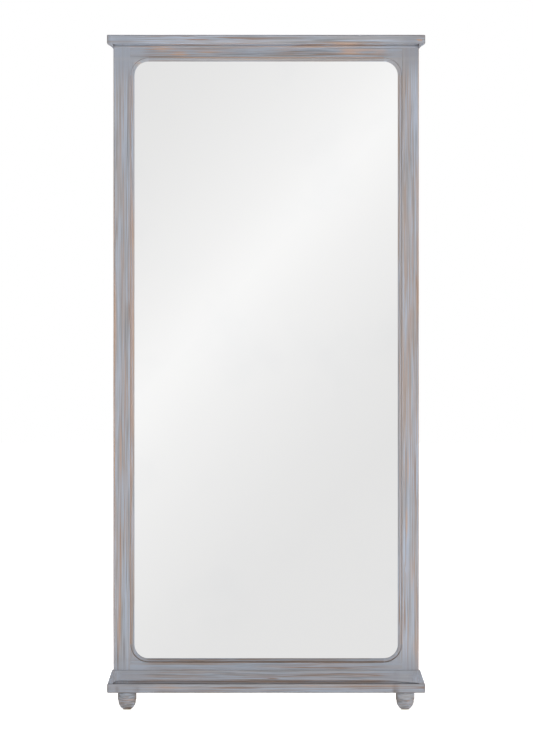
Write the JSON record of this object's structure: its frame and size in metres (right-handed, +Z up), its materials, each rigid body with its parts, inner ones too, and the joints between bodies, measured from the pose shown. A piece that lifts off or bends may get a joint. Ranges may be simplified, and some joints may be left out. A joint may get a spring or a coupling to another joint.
{
  "type": "leaning floor mirror",
  "caption": "Tall rectangular floor mirror in a distressed blue-grey wooden frame with a cornice, a plinth, round-cornered glass opening and bun feet, to lean or hang.",
  "frame": {"origin": "on the floor, under the middle of the overall box", "axes": "+Z up, +Y towards the wall behind, so the mirror faces -Y, and +X to the viewer's right"},
  "size_m": [0.862, 0.069, 1.829],
  "materials": {
    "painted_wood": "blue-grey paint, rubbed back to brown wood on the edges and along the grain",
    "bare_wood": "unpainted",
    "hardboard": "brown pressed board",
    "mirror_glass": "silvered behind",
    "zinc_plated_steel": "bright zinc plate",
    "brass_insert": "turned",
    "black_rubber": "matt",
    "nylon_glide": "smooth"
  },
  "bodies": {
    "frame": {"left_stile": "painted_wood", "right_stile": "painted_wood", "top_rail": "painted_wood", "bottom_rail": "painted_wood", "top_right_corner_block": "painted_wood", "top_left_corner_block": "painted_wood", "bottom_right_corner_block": "painted_wood", "bottom_left_corner_block": "painted_wood", "corner_dowels": "bare_wood", "cornice_board": "painted_wood", "cornice_front_bead": "painted_wood", "left_cornice_cove": "painted_wood", "right_cornice_cove": "painted_wood", "cornice_screws": "zinc_plated_steel", "cornice_plugs": "painted_wood", "plinth_board": "painted_wood", "front_base_moulding": "painted_wood", "left_base_moulding": "painted_wood", "right_base_moulding": "painted_wood", "plinth_screws": "zinc_plated_steel", "left_foot": "painted_wood", "right_foot": "painted_wood", "left_foot_glide": "nylon_glide", "right_foot_glide": "nylon_glide", "foot_studs": "zinc_plated_steel", "foot_inserts": "brass_insert", "mirror_pane": "mirror_glass", "backing_board": "hardboard", "left_retaining_strip": "bare_wood", "right_retaining_strip": "bare_wood", "top_retaining_strip": "bare_wood", "bottom_retaining_strip": "bare_wood", "strip_pins": "zinc_plated_steel", "left_hanger_strap": "zinc_plated_steel", "right_hanger_strap": "zinc_plated_steel", "hanger_screws": "zinc_plated_steel", "lower_left_bumper": "black_rubber", "lower_right_bumper": "black_rubber", "upper_left_bumper": "black_rubber", "upper_right_bumper": "black_rubber", "bumper_screws": "zinc_plated_steel"},
    "left_ring": {"left_hanging_ring": "zinc_plated_steel"},
    "right_ring": {"right_hanging_ring": "zinc_plated_steel"}
  },
  "joints": [
    {"name": "left_ring_swing", "type": "hinge", "parent": "frame", "child": "left_ring", "pos_m": [-0.3915, 0.0304, 1.505], "axis": [1, 0, 0], "range_deg": [0, 180]},
    {"name": "right_ring_swing", "type": "hinge", "parent": "frame", "child": "right_ring", "pos_m": [0.3915, 0.0304, 1.505], "axis": [1, 0, 0], "range_deg": [0, 180]}
  ]
}
